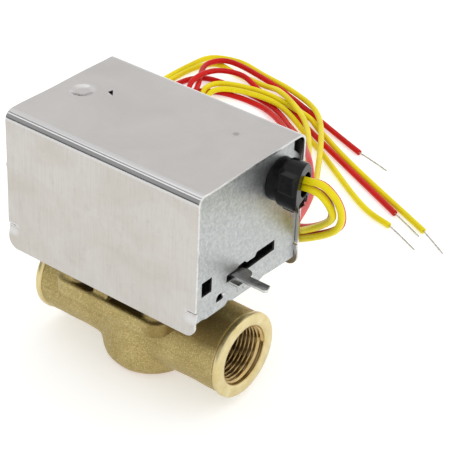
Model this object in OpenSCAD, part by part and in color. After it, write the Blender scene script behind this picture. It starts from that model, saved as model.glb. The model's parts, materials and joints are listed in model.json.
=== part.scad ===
// Two-way spring-return zone valve: a forged brass body with a powerhead on top.
// Origin: centre of the flat pad under the body. +X runs along the pipe axis to the
// lever end, +Z is up. Millimetres.

/* [Brass body] */
// Height of the pipe axis above the base pad
axis_z = 23; // [22:0.5:24]
// Half of the face-to-face length over the two ports
port_x = 49.7; // [48:0.1:52]
// Outer radius of each port
port_r = 18.8; // [18.4:0.1:19.4]
// Wall radius of the threaded holes (3/4-14 pipe thread, major)
thread_r = 13.3; // [13.1:0.1:13.5]
// Depth of the threaded holes
thread_depth = 16; // [14:0.5:17]
// Radius of the round chamber casting
bulge_r = 20.8; // [20:0.1:22]
// Radius of the chamber
chamber_r = 16.5; // [16:0.1:17]
// Top of the flange under the powerhead
flange_top = 42; // [41:0.5:43]

/* [Powerhead] */
// Length of the cover along X
cover_l = 98.4; // [97:0.2:102]
// Width of the cover along Y
cover_w = 67; // [66:0.5:70]
// Lower edge of the cover
cover_z0 = 50; // [49.5:0.5:50.5]
// Top of the cover
cover_z1 = 113.5; // [112.5:0.5:118]
// Thickness of the cover sheet
sheet = 1; // [0.8:0.1:1.2]
// Outer bend radius along the two long top edges
bend_r = 4.25; // [3.5:0.25:5]
// Thickness of the chassis sheet
chassis_t = 1.2; // [1:0.1:1.4]

/* [Motion] */
// Swing of the valve shaft and lever, in degrees
swing = 28; // [20:1:28]
// Distance of the valve shaft from the pipe axis
shaft_y = 12; // [11.8:0.1:12.2]
// Radius of the valve shaft
shaft_r = 3; // [2.9:0.1:3]
// Lift of the switch cam over the full swing
cam_lift = 0.8; // [0.5:0.1:1]

/* [Leads] */
// Outer diameter of one lead
lead_d = 3; // [2.6:0.1:3]
// Diameter of the stripped conductor
tip_d = 1.1; // [0.8:0.1:1.3]

/* [Hidden] */
$fn = 64;
eps = 0.01;

// brass body
pad_r = 12;
port_face_r = port_r - 0.8;
forged_r = port_r - 0.6;
waterway_r = 9.5;
seat_r = 7.5;
seat_x = -11.4;
flange_x = 28.5;
flange_y = 30.5;
flange_t = 6;
body_top = 51;
screw_x = 21.5;
screw_y = 22;
screw_r = 1.95;

// valve plug
ball_r = 8.5;
ball_x = -6;
run_gap = 0.06;

// chassis
chassis_z = body_top + 3;
floor_z = chassis_z + chassis_t;
inner_y = cover_w / 2 - sheet - 0.2;
plate_x1 = cover_l / 2 - 1.5;
plate_x0 = plate_x1 - chassis_t;
chassis_top = cover_z1 - sheet - 0.5;
gland_y = 18.5;
gland_z = 98.5;
gland_hole_r = 7.1;
mouth_x = 62.3;
bore_floor_x = 53.5;
bore_y = 20.4;
bore_z = 99;
wedge_x = 52.9;
wedge_drop = 5.4;

// gear train: the sector drives the pinion pair, which drives the rotor
sector_teeth = 44;
pinion_teeth = 12;
sector_m = 1;
reduction_teeth = 36;
rotor_teeth = 12;
rotor_m = 0.6;
mesh_angle = 200;
rotor_angle = -81;
pinion_dist = sector_m * (sector_teeth + pinion_teeth) / 2;
rotor_dist = rotor_m * (reduction_teeth + rotor_teeth) / 2;
shaft_at = [0, shaft_y];
pinion_at = shaft_at + pinion_dist * [cos(mesh_angle), sin(mesh_angle)];
rotor_at = pinion_at + rotor_dist * [cos(rotor_angle), sin(rotor_angle)];
sector_z = 62;
lever_z = 66;
lever_t = 1.3;
plate_z = 71;
motor_z = plate_z + 1.2;
motor_r = 15.5;
axle_r = 1.5;
rotor_shaft_r = 1;

// end switch, worked by the cam on the sector
cam_r = 29.3;
cam_gap = 0.3;
plunger_y = shaft_y - cam_r - cam_gap;

// routes of the leads on and above the surface that the valve stands on
route_yellow_a = [
    [53.5, 18.9, 100.9], [60.5, 19.2, 102], [66.8, 20.4, 102], [71.6, 23, 96.8],
    [73, 26.5, 87.6], [69.2, 29.6, 78.2], [48.3, 37, 61.2], [36, 42, 54], [22, 64, 43],
    [3, 106, 25.5], [-22, 151, 13], [-64, 210, 6], [-87, 222, 4.8], [-113, 229.5, 3],
    [-136, 235, 1.6], [-150, 228.5, 1.6], [-153, 212, 1.6], [-151.2, 174.2, 1.6],
    [-145.9, 161.5, 1.6], [-133.2, 156.3, 1.6], [-120.5, 161.5, 1.6], [-115.3, 174.2, 1.6],
    [-121, 192.5, 5], [-117.5, 200, 5], [-88, 205.5, 5], [-54, 191, 1.6], [6, 154.5, 1.6],
    [22, 150, 1.6]
];
route_yellow_b = [
    [53.5, 18.9, 97.7], [60.2, 19.2, 98.7], [65.6, 20.6, 97.5], [69, 23, 92.4],
    [69.1, 26.1, 85.6], [48, 37, 65], [36, 42, 58], [19.5, 67, 47], [-26, 148, 17.5],
    [-62, 195, 9.5], [-92, 214.5, 7], [-106, 219.8, 3.2], [-129, 223, 1.6],
    [-142.5, 224.5, 1.6], [-149, 213, 1.6], [-147.6, 174.2, 1.6], [-143.4, 164, 1.6],
    [-133.2, 159.8, 1.6], [-123, 164, 1.6], [-118.8, 174.2, 1.6], [-122, 184.5, 3],
    [-126, 193.5, 5], [-124, 202.5, 5], [-101, 210.5, 5], [-72, 206.6, 4.9],
    [-64, 205.2, 4], [-57, 202.5, 1.7], [-29, 187.5, 1.6], [37, 157, 1.6]
];
route_red_a = [
    [53.5, 21.9, 99.3], [59.2, 22.1, 100], [65.2, 23.6, 100], [69.5, 26.6, 94.6],
    [70.9, 30.2, 86.2], [68.5, 33.2, 77.6], [49.4, 40.5, 61.4], [38, 45.5, 54.5],
    [4.5, 106.5, 32], [-21.5, 142, 25], [-68.5, 192, 4], [-94, 207, 1.6],
    [-135.5, 208, 1.6], [-142.5, 201, 1.6], [-144, 174.2, 1.6], [-140.9, 166.5, 1.6],
    [-133.2, 163.4, 1.6], [-125.5, 166.5, 1.6], [-122.4, 174.2, 1.6], [-130.5, 192, 4.8],
    [-143, 216, 4.8], [-138, 226, 4.8], [-108.5, 225, 3.5], [-28, 197.5, 1.6]
];
route_red_b = [
    [53.5, 21.7, 96.1], [58.8, 22, 96.9], [63.9, 23.6, 95.8], [66.7, 26.8, 90.6],
    [63.6, 33.3, 78.9], [48.9, 40.4, 65.4], [37.3, 45.6, 59.2], [16.5, 67.5, 51],
    [-12, 115, 29], [-44, 162, 12], [-80, 195, 3.5], [-98, 202.5, 1.6], [-122, 199.5, 1.6],
    [-139, 183, 1.6], [-140.5, 174.2, 1.6], [-138.4, 169, 1.6], [-133.2, 166.9, 1.6],
    [-128, 169, 1.6], [-125.9, 174.2, 1.6], [-133.5, 190.5, 7], [-133, 199, 8.8],
    [-130, 212, 7], [-120, 218.3, 5], [-105, 215.5, 1.6], [-87, 212.5, 1.6],
    [-57.5, 197.5, 1.6], [18, 161, 1.6]
];
// far ends of the stripped conductors, lead by lead
end_yellow_a = [42, 141.5, 0.8];
end_yellow_b = [54, 147.5, 0.8];
end_red_a = [-8, 193, 0.8];
end_red_b = [37.5, 152.5, 0.8];

// leads inside the powerhead
inner_yellow = [
    [[44, 17, 100], [40, 17, 100], [24, 12, 103], [0, 2, 104], [-26, -5.8, 104],
     [-34.45, -5.8, 100.5], [-34.45, -5.8, 94]],
    [[44, 17, 96.9], [40, 17, 96.9], [24, 8, 98.5], [0, -8, 100], [-26, -17.8, 101],
     [-34.45, -17.8, 99], [-34.45, -17.8, 94]]
];
inner_red = [
    [[44, 20.3, 100], [41, 20.3, 100], [37, 20, 92], [34, 8, 84], [30, -12, 78],
     [22, -25, 68], [17.5, -26.6, 61.7]],
    [[44, 20.3, 96.9], [41.5, 20.3, 96.9], [39.5, 19, 89], [37, 8, 80.5], [33, -12, 74],
     [24, -22, 66], [17.5, -22.6, 61.7]]
];
inner_d = 2;

// ---- vector and sweep helpers ----
function unit(v) = v / norm(v);
function tangent(p, i) =
    let (n = len(p) - 1)
    i == 0 ? unit(p[1] - p[0])
    : i == n ? unit(p[n] - p[n - 1])
    : unit(unit(p[i + 1] - p[i]) + unit(p[i] - p[i - 1]));
function turn_frame(n, t) = unit(n - (n * t) * t);
function normals(p, i = 0, prev = [0, 0, 1]) =
    i == len(p) ? []
    : let (n = turn_frame(prev, tangent(p, i))) concat([n], normals(p, i + 1, n));

module tube(p, d, sides = 8) {
    n = normals(p);
    ring = [for (i = [0 : len(p) - 1])
        let (b = cross(tangent(p, i), n[i]))
        for (k = [0 : sides - 1])
            p[i] + d / 2 * (cos(360 * k / sides) * n[i] + sin(360 * k / sides) * b)];
    last = (len(p) - 1) * sides;
    walls = [for (i = [0 : len(p) - 2]) for (k = [0 : sides - 1])
        let (a = i * sides + k, b = i * sides + (k + 1) % sides)
        each [[a, a + sides, b], [b, a + sides, b + sides]]];
    cap_near = [for (k = [0 : sides - 1]) k];
    cap_far = [for (k = [sides - 1 : -1 : 0]) last + k];
    polyhedron(ring, concat(walls, [cap_near, cap_far]), convexity = 10);
}

module at(p, z) {
    translate([p[0], p[1], z]) children();
}

module ring(r_out, r_in, h) {
    difference() {
        cylinder(r = r_out, h = h);
        translate([0, 0, -1]) cylinder(r = r_in, h = h + 2);
    }
}

module o_ring(r, d) {
    rotate_extrude() translate([r, 0]) circle(d = d, $fn = 24);
}

// rectangle with round corners, made of exact arcs
module round_rect(x, y, r) {
    square([2 * x, 2 * y - 2 * r], center = true);
    square([2 * x - 2 * r, 2 * y], center = true);
    for (sx = [-1, 1], sy = [-1, 1])
        translate([sx * (x - r), sy * (y - r)]) circle(r);
}

module pan_screw(head_r, head_h, shank_r, shank_l) {
    difference() {
        union() {
            cylinder(r = head_r, h = head_h * 0.6);
            translate([0, 0, head_h * 0.6]) cylinder(r1 = head_r, r2 = head_r * 0.7, h = head_h * 0.4);
            translate([0, 0, -shank_l]) cylinder(r = shank_r, h = shank_l);
        }
        translate([-head_r - 1, -0.4, head_h * 0.5]) cube([2 * head_r + 2, 0.8, head_h]);
    }
}

// ---- involute gears ----
pressure = 25;
backlash = 0.12;
function involute(a) = tan(a) * 180 / PI - a;
function half_tooth(r, rp, m) =
    let (rb = rp * cos(pressure), s = PI * m / 2 - backlash)
    s / (2 * rp) * 180 / PI + involute(pressure) - (r > rb ? involute(acos(rb / r)) : 0);
function tooth(a, rp, m, radii) = concat(
    [for (r = radii) r * [cos(a - half_tooth(r, rp, m)), sin(a - half_tooth(r, rp, m))]],
    [for (i = [len(radii) - 1 : -1 : 0])
        let (r = radii[i], h = half_tooth(r, rp, m)) r * [cos(a + h), sin(a + h)]]);
function tooth_radii(rp, m) =
    let (root = rp - 1.15 * m, tip = rp + 0.85 * m)
    [for (k = [0 : 5]) root + (tip - root) * k / 5];

module gear_outline(teeth, m, first = 0, last = -1) {
    rp = m * teeth / 2;
    stop = last < 0 ? teeth - 1 : last;
    pts = [for (i = [first : stop]) each tooth(360 * i / teeth, rp, m, tooth_radii(rp, m))];
    polygon(last < 0 ? pts : concat(pts, [[0, 0]]));
}

// ---- brass body ----
module port_shell(side) {
    rotate([0, 90 * side, 0]) {
        cylinder(r = forged_r, h = port_x - 2.8);
        translate([0, 0, port_x - 3.6]) cylinder(r1 = forged_r, r2 = port_r, h = 0.8);
        translate([0, 0, port_x - 2.8]) cylinder(r = port_r, h = 2);
        translate([0, 0, port_x - 0.8]) cylinder(r1 = port_r, r2 = port_face_r, h = 0.8);
    }
}

module port_bore(side) {
    rotate([0, 90 * side, 0]) {
        translate([0, 0, port_x - thread_depth]) cylinder(r = thread_r, h = thread_depth + 1);
        translate([0, 0, port_x - 0.7]) cylinder(r1 = thread_r, r2 = thread_r + 1, h = 0.7 + eps);
        translate([0, 0, port_x - thread_depth - 2])
            cylinder(r1 = waterway_r, r2 = thread_r - 1.2, h = 2 + eps);
    }
}

module bulge() {
    rotate_extrude() union() {
        square([pad_r, body_top]);
        translate([0, bulge_r - pad_r]) square([bulge_r, body_top - bulge_r + pad_r]);
        intersection() {
            translate([pad_r, bulge_r - pad_r]) circle(bulge_r - pad_r);
            square([bulge_r, bulge_r]);
        }
    }
}

module body_flange() {
    translate([0, 0, flange_top - flange_t]) linear_extrude(flange_t)
        round_rect(flange_x, flange_y, 6);
    translate([0, 0, flange_top]) linear_extrude(1) difference() {
        round_rect(flange_x, flange_y, 6);
        round_rect(flange_x - 1.8, flange_y - 1.8, 4.5);
    }
    translate([0, 0, 27]) cylinder(r1 = bulge_r - 0.2, r2 = flange_x - 1, h = 9.5);
    for (sx = [-1, 1], sy = [-1, 1])
        translate([sx * screw_x, sy * screw_y, flange_top - 1]) cylinder(r = 6.3, h = body_top - flange_top + 1);
    for (sy = [-1, 1])
        translate([-8, sy > 0 ? 18 : -28.5, flange_top - 1]) cube([8, 10.5, body_top - flange_top + 1]);
}

// chamber with the seat ring left standing on its -X side
module chamber_void() {
    difference() {
        translate([0, 0, 6]) cylinder(r = chamber_r, h = body_top);
        translate([seat_x, 0, axis_z]) rotate([0, -90, 0]) cylinder(r = 10.5, h = bulge_r);
    }
}

module valve_body() {
    color("darkkhaki") difference() {
        union() {
            bulge();
            body_flange();
            for (side = [-1, 1]) translate([0, 0, axis_z]) port_shell(side);
        }
        chamber_void();
        translate([0, 0, axis_z]) rotate([0, 90, 0]) cylinder(r = waterway_r, h = port_x - thread_depth);
        translate([0, 0, axis_z]) rotate([0, -90, 0]) cylinder(r = seat_r, h = port_x - thread_depth);
        translate([0, 0, body_top - 2.4]) cylinder(r = 18.6, h = 3);
        for (side = [-1, 1]) translate([0, 0, axis_z]) port_bore(side);
        screw_places() translate([0, 0, body_top - 8]) cylinder(r = screw_r + 0.05, h = 9);
    }
}

module screw_places() {
    for (sx = [-1, 1], sy = [-1, 1]) translate([sx * screw_x, sy * screw_y, 0]) children();
}

module bonnet_plate() {
    color("silver") difference() {
        union() {
            translate([0, 0, body_top]) linear_extrude(3) round_rect(27.5, 28.2, 6);
            translate([0, 0, body_top - 3.2]) cylinder(r = 16.4, h = 3.2 + eps);
        }
        at(shaft_at, body_top - 5) cylinder(r = 4, h = 10);
        screw_places() translate([0, 0, body_top - 1]) cylinder(r = screw_r + 0.35, h = 5);
    }
}

module bonnet_o_ring() {
    color("black") translate([0, 0, body_top - 1.2]) o_ring(17.5, 1.9);
}

module body_screws() {
    color("silver") screw_places() translate([0, 0, floor_z]) pan_screw(3.6, 2.6, screw_r, 10.5);
}

// flanged sleeve that guides the shaft, with two seal grooves
module shaft_bushing() {
    color("goldenrod") at(shaft_at, 0) difference() {
        union() {
            translate([0, 0, body_top - 6.4]) cylinder(r = 4.3, h = 3.2);
            translate([0, 0, body_top - 3.2]) cylinder(r = 4, h = 9.2);
        }
        translate([0, 0, body_top - 7]) cylinder(r = shaft_r + run_gap, h = 14);
        for (z = [body_top - 5, body_top + 3.6])
            translate([0, 0, z]) cylinder(r = shaft_r + 0.75, h = 1.4);
    }
}

module shaft_o_rings() {
    color("black") for (z = [body_top - 4.3, body_top + 4.3])
        at(shaft_at, z) o_ring(shaft_r + 0.4, 0.6);
}

module valve_shaft() {
    color("lightgray") at(shaft_at, 0) difference() {
        translate([0, 0, axis_z - 5]) cylinder(r = shaft_r, h = plate_z - 1 - axis_z + 5);
        translate([0, 0, 68.1]) ring(shaft_r + 1, shaft_r - 0.5, 0.9);
    }
}

// arm keyed to the shaft foot, with the peg that carries the ball
module plug_arm() {
    to_ball = [ball_x, -shaft_y];
    reach = norm(to_ball);
    a = atan2(to_ball[1], to_ball[0]);
    color("goldenrod") at(shaft_at, axis_z) rotate([0, 0, a]) difference() {
        union() {
            translate([0, 0, -5]) cylinder(r = 4.3, h = 10);
            rotate([0, 90, 0]) cylinder(r = 2, h = reach + 3);
        }
        translate([0, 0, -6]) cylinder(r = shaft_r, h = 12);
    }
}

module plug_ball() {
    color("dimgray") difference() {
        translate([ball_x, 0, axis_z]) sphere(ball_r);
        at(shaft_at, axis_z) rotate([0, 0, atan2(-shaft_y, ball_x)]) rotate([0, 90, 0])
            cylinder(r = 2, h = norm([ball_x, shaft_y]) + 3);
    }
}

// ---- chassis: floor and two upturned ends ----
module lever_slot() {
    polygon([
        [-12.6, 64.6], [2.2, 64.4], [10.6, 64.7], [18.6, 64.8], [18.4, 69.6],
        [6.8, 69.6], [5.4, 67.9], [0.4, 67.9], [-1.2, 69.2], [-5, 68.9], [-6.2, 68.1],
        [-12.2, 67.9]
    ]);
}

// outline of the lever end, with its slightly stepped lower edge
module end_outline() {
    polygon([
        [-inner_y, chassis_z + 0.6], [-27, chassis_z + 0.8], [-24.5, chassis_z],
        [-13, chassis_z], [-11, chassis_z + 1.6], [-8.5, chassis_z + 0.2], [8, chassis_z],
        [12, chassis_z + 1.4], [20, chassis_z + 0.8], [inner_y, chassis_z + 0.4],
        [inner_y, chassis_top - 9], [inner_y - 4.5, chassis_top - 5],
        [inner_y - 4.5, chassis_top], [-inner_y + 3, chassis_top],
        [-inner_y, chassis_top - 3]
    ]);
}

// outline of the plain end
module blank_end() {
    polygon([
        [-inner_y, chassis_z], [inner_y, chassis_z], [inner_y, chassis_top - 3],
        [inner_y - 3, chassis_top], [-inner_y + 3, chassis_top], [-inner_y, chassis_top - 3]
    ]);
}

module end_holes() {
    lever_slot();
    translate([-28, 65.5]) square([6.3, 6.7]);
    translate([-16.4, 59.4]) intersection() {
        circle(2.2);
        translate([-3, -1.1]) square([6, 4]);
    }
    translate([gland_y, gland_z]) circle(gland_hole_r);
}

module chassis() {
    color("lightsteelblue") difference() {
        union() {
            translate([-plate_x1, -inner_y, chassis_z])
                cube([2 * plate_x1 - chassis_t, 2 * inner_y, chassis_t]);
            translate([-plate_x1, 0, 0]) rotate([90, 0, 90]) linear_extrude(chassis_t) blank_end();
            translate([plate_x0, 0, 0]) rotate([90, 0, 90]) linear_extrude(chassis_t) difference() {
                end_outline();
                end_holes();
            }
            rest_tab();
        }
        at(shaft_at, chassis_z - 1) cylinder(r = 4.4, h = 4);
        screw_places() translate([0, 0, chassis_z - 1]) cylinder(r = screw_r + 0.35, h = 4);
        translate([-plate_x1 - 1, 0, 84]) rotate([0, 90, 0]) cylinder(r = 4, h = 3);
    }
}

// small lip bent out of the end, under the lever
module rest_tab() {
    translate([plate_x1 - eps, -10.6, 61.2]) difference() {
        cube([4.6, 5.2, 3]);
        translate([-1, -1, -1.1]) cube([4.6, 7.2, 3]);
        translate([3.2, 1.4, -0.1]) cube([3, 2.2, 1.8]);
    }
}

// ---- shaft-driven pieces ----
function cam_point(a) =
    let (lift = cam_lift * min(1, max(0, (-90 - a) / swing)))
    (cam_r + lift) * [cos(a), sin(a)];

module sector_gear() {
    first = floor((mesh_angle - swing - 12) * sector_teeth / 360);
    last = ceil((mesh_angle + 11) * sector_teeth / 360);
    offset_a = mesh_angle - round(mesh_angle * sector_teeth / 360) * 360 / sector_teeth;
    color("gainsboro") at(shaft_at, sector_z) difference() {
        union() {
            linear_extrude(2) rotate(offset_a) gear_outline(sector_teeth, sector_m, first, last);
            linear_extrude(2) polygon(concat([[0, 0]], [for (a = [-124 : 2 : -84]) cam_point(a)]));
            translate([0, 0, -0.5]) cylinder(r = 7, h = 3.5);
        }
        translate([0, 0, -1]) cylinder(r = shaft_r, h = 5);
    }
}

module shaft_washer() {
    color("silver") at(shaft_at, sector_z + 3.2) ring(5.5, shaft_r + run_gap, 0.5);
}

module shaft_clip() {
    color("dimgray") at(shaft_at, 68.2) difference() {
        cylinder(r = 5, h = 0.7);
        translate([0, 0, -1]) cylinder(r = shaft_r - 0.5, h = 3);
        translate([-1.6, 0, -1]) cube([3.2, 6, 3]);
    }
}

module manual_lever() {
    color("gray") translate([0, 0, lever_z]) linear_extrude(lever_t) difference() {
        union() {
            translate(shaft_at) circle(6.5);
            polygon([[2, 18], [-2, 6], [38, -10], [64, -10], [65, -9], [64, -5.8], [55, -5.8],
                     [46, -6], [40, -5]]);
            translate([50.6, -6]) circle(3.8);
        }
        translate(shaft_at) circle(shaft_r + run_gap);
    }
}

module return_spring() {
    turns = 3;
    steps = 20;
    coil_r = 6.6;
    start = 140;
    path = concat(
        [[coil_r * cos(start) - 7, coil_r * sin(start) - 5, 0]],
        [for (i = [0 : turns * steps])
            [coil_r * cos(start + 360 * i / steps), coil_r * sin(start + 360 * i / steps), 1.2 * i / steps]],
        [[coil_r * cos(start) - 6, coil_r * sin(start) - 7, 1.2 * turns]]);
    color("silver") at(shaft_at, 56.2) tube(path, 0.8, 6);
}

// ---- gear train and motor ----
module gear_axle() {
    color("silver") at(pinion_at, floor_z) cylinder(r = axle_r, h = plate_z - floor_z);
}

module drive_pinion() {
    phase = mesh_angle + 180 + 180 / pinion_teeth;
    color("goldenrod") at(pinion_at, sector_z - 1) difference() {
        union() {
            linear_extrude(4) rotate(phase) gear_outline(pinion_teeth, sector_m);
            translate([0, 0, 4 - eps]) cylinder(r = 4, h = 1.2);
        }
        translate([0, 0, -1]) cylinder(r = axle_r + run_gap, h = 9);
    }
}

module reduction_gear() {
    color("gainsboro") at(pinion_at, sector_z + 4.2) difference() {
        linear_extrude(2) rotate(rotor_angle) gear_outline(reduction_teeth, rotor_m);
        translate([0, 0, -1]) cylinder(r = axle_r + run_gap, h = 4);
    }
}

post_places = [[-42, -28], [-9.5, -28], [-42, 20], [-12, 28]];

module plate_posts() {
    color("silver") for (p = post_places) at(p, floor_z) difference() {
        cylinder(r = 2.5, h = plate_z - floor_z);
        translate([0, 0, plate_z - floor_z - 8]) cylinder(r = 1.3, h = 9);
    }
}

module motor_plate() {
    color("lightsteelblue") difference() {
        translate([-45.4, -31.4, plate_z]) cube([42, 62.8, 1.2]);
        for (p = post_places) at(p, plate_z - 1) cylinder(r = 1.6, h = 4);
        at(rotor_at, plate_z - 1) cylinder(r = 2.5, h = 4);
        for (sx = [-1, 1]) at(rotor_at + [sx * 18, 0], plate_z - 1) cylinder(r = 1.1, h = 4);
    }
}

module plate_screws() {
    color("silver") for (p = post_places) at(p, motor_z) pan_screw(2.6, 2, 1.25, 7);
}

module motor_base() {
    color("silver") at(rotor_at, motor_z) difference() {
        union() {
            cylinder(r = motor_r - 0.9, h = 2);
            for (sx = [-1, 1]) translate([sx * 18, 0, 0]) cylinder(r = 2.8, h = 1);
            translate([-18, -2.8, 0]) cube([36, 5.6, 1]);
        }
        translate([0, 0, -1]) cylinder(r = rotor_shaft_r + run_gap, h = 4);
        for (sx = [-1, 1]) translate([sx * 18, 0, -1]) cylinder(r = 1.4, h = 3);
    }
}

module motor_can() {
    color("silver") at(rotor_at, motor_z) difference() {
        translate([0, 0, 1 + eps]) cylinder(r = motor_r, h = 23);
        difference() {
            translate([0, 0, -1]) cylinder(r = motor_r - 0.8, h = 24);
            translate([0, 0, 21.4]) cylinder(r = 3, h = 3);
        }
        translate([0, 0, 18]) cylinder(r = rotor_shaft_r + run_gap, h = 4.6);
        for (a = [150, 210]) rotate(a) translate([12, 0, 20]) cylinder(r = 1.6, h = 6);
    }
}

module motor_coil() {
    color("peru") at(rotor_at, motor_z + 3) ring(14.3, 9.3, 16);
}

module rotor_magnet() {
    color("dimgray") at(rotor_at, motor_z + 4) ring(8.6, rotor_shaft_r, 13);
}

module rotor_shaft() {
    color("silver") at(rotor_at, sector_z + 3) cylinder(r = rotor_shaft_r, h = 29.5);
}

module rotor_pinion() {
    phase = rotor_angle + 180 + 180 / rotor_teeth;
    color("goldenrod") at(rotor_at, sector_z + 3.8) difference() {
        linear_extrude(2.8) rotate(phase) gear_outline(rotor_teeth, rotor_m);
        translate([0, 0, -1]) cylinder(r = rotor_shaft_r, h = 5);
    }
}

module motor_screws() {
    color("silver") for (sx = [-1, 1])
        at(rotor_at + [sx * 18, 0], motor_z + 1) pan_screw(2.2, 1.6, 1.05, 3.2);
}

// ---- end switch ----
switch_x = [-4, 15];
switch_y = [-29.6, -19.6];
switch_z = [58, 64.4];
switch_screw_x = [-1, 12];
plunger_z = 61.2;

module switch_body() {
    color("darkred") difference() {
        union() {
            translate([switch_x[0], switch_y[0], switch_z[0]])
                cube([switch_x[1] - switch_x[0], switch_y[1] - switch_y[0], switch_z[1] - switch_z[0]]);
            for (x = switch_screw_x)
                translate([x, -27, floor_z]) cylinder(r = 2.2, h = switch_z[0] - floor_z + eps);
        }
        for (x = switch_screw_x) translate([x, -27, floor_z - 1]) cylinder(r = 1.2, h = 12);
        translate([0, switch_y[1] - 4, plunger_z]) rotate([-90, 0, 0]) cylinder(r = 1.06, h = 5);
    }
}

module switch_plunger() {
    color("ivory") translate([0, switch_y[1] - 2.6, plunger_z]) rotate([-90, 0, 0])
        cylinder(r = 1, h = plunger_y - switch_y[1] + 2.6);
}

module switch_terminals() {
    color("goldenrod") for (y = [-28, -24]) translate([switch_x[1], y, 60]) cube([3.4, 2.8, 0.6]);
}

module switch_screws() {
    color("silver") for (x = switch_screw_x)
        translate([x, -27, switch_z[1]]) pan_screw(2, 1.5, 1.15, 8.4);
}

module inner_leads_yellow() {
    color("gold") for (p = inner_yellow) tube(p, inner_d, 6);
}

module inner_leads_red() {
    color("crimson") for (p = inner_red) tube(p, inner_d, 6);
}

// ---- strain relief in the lever end ----
module strain_relief() {
    neck = 4.3;
    side_r = 8.5;
    rise = 1.8;
    mouth_slant = 16;
    bore_r = 5;
    color("black") difference() {
        translate([0, gland_y, gland_z]) rotate([0, 90, 0]) union() {
            translate([0, 0, plate_x0 - 2.2]) cylinder(r = gland_hole_r - 0.1, h = 4);
            translate([0, 0, plate_x1]) cylinder(r1 = 9.3, r2 = 8.7, h = neck);
            hull() for (s = [-1, 1])
                translate([s * rise, 0, plate_x1 + neck - eps]) cylinder(r = side_r, h = 12);
            translate([-8.5, -9.2, plate_x1 + neck + 2]) cube([8, 6.7, 7]);
        }
        translate([mouth_x, gland_y - side_r, gland_z - 20]) rotate([0, 0, mouth_slant])
            translate([0, -10, 0]) cube([15, 40, 40]);
        translate([bore_floor_x, bore_y, bore_z]) rotate([0, 90, 0]) cylinder(r = bore_r, h = 12);
        translate([wedge_x, gland_y - 4.2, gland_z - 12]) cube([12, 8.4, 12 - wedge_drop]);
    }
}

// locking wedge pressed into the underside of the strain relief
module strain_relief_wedge() {
    wedge_h = 4.6;
    color("black") translate([wedge_x, gland_y - 4, gland_z - wedge_drop - wedge_h]) difference() {
        cube([5.6, 8, wedge_h - eps]);
        translate([-1, 9, -1]) rotate([45, 0, 0]) cube([10, 3, 3]);
    }
}

// ---- cover: top and two long sides bent from one sheet ----
module cover_section(inset) {
    w = cover_w / 2 - inset;
    top = cover_z1 - inset;
    r = bend_r - inset;
    translate([-w, 0]) square([2 * w, top - r]);
    translate([-w + r, 0]) square([2 * (w - r), top]);
    for (s = [-1, 1]) translate([s * (w - r), top - r]) circle(r);
}

module cover() {
    corner = 4.6;
    slit_z = cover_z0 + 10.9;
    color("gainsboro") difference() {
        translate([-cover_l / 2, 0, 0]) rotate([90, 0, 90]) linear_extrude(cover_l) difference() {
            cover_section(0);
            cover_section(sheet);
            translate([-cover_w, -1]) square([2 * cover_w, cover_z0 + 1]);
        }
        for (s = [-1, 1]) translate([s * cover_l / 2, cover_w, cover_z0]) rotate([90, 0, 0])
            linear_extrude(2 * cover_w) difference() {
                square(2 * corner, center = true);
                translate([-s * corner, corner]) circle(corner);
            }
        for (sx = [-1, 1], sy = [-1, 1])
            translate([sx * (cover_l / 2 - 1.2) - 2.8, sy * (cover_w / 2) - 2, slit_z]) cube([5.6, 4, 0.6]);
        translate([-38.5, 0, cover_z1 - 0.45]) cylinder(r = 5, h = 1);
        translate([-27.8, 5.8, cover_z1 - 3]) cylinder(r = 2, h = 5, $fn = 3);
    }
}

// ---- leads ----
module lead_yellow_a() { color("yellow") tube(route_yellow_a, lead_d); }
module lead_yellow_b() { color("yellow") tube(route_yellow_b, lead_d); }
module lead_red_a() { color("red") tube(route_red_a, lead_d); }
module lead_red_b() { color("red") tube(route_red_b, lead_d); }

// bare conductor from the end of a lead's sleeve to its tip
module tip(route, end) {
    color("silver") tube([route[len(route) - 1], end], tip_d, 8);
}
module tip_yellow_a() { tip(route_yellow_a, end_yellow_a); }
module tip_yellow_b() { tip(route_yellow_b, end_yellow_b); }
module tip_red_a() { tip(route_red_a, end_red_a); }
module tip_red_b() { tip(route_red_b, end_red_b); }

valve_body();
bonnet_plate();
bonnet_o_ring();
body_screws();
shaft_bushing();
shaft_o_rings();
valve_shaft();
plug_arm();
plug_ball();
chassis();
sector_gear();
shaft_washer();
shaft_clip();
manual_lever();
return_spring();
gear_axle();
drive_pinion();
reduction_gear();
plate_posts();
motor_plate();
plate_screws();
motor_base();
motor_can();
motor_coil();
rotor_magnet();
rotor_shaft();
rotor_pinion();
motor_screws();
switch_body();
switch_plunger();
switch_terminals();
switch_screws();
inner_leads_yellow();
inner_leads_red();
strain_relief();
strain_relief_wedge();
cover();
lead_yellow_a();
lead_yellow_b();
lead_red_a();
lead_red_b();
tip_yellow_a();
tip_yellow_b();
tip_red_a();
tip_red_b();
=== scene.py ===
"""Materials, mesh pieces, leads, light and camera of the zone valve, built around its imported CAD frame."""
import json
import math

import bmesh
import bpy
import numpy as np
from mathutils import Matrix, Vector


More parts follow.
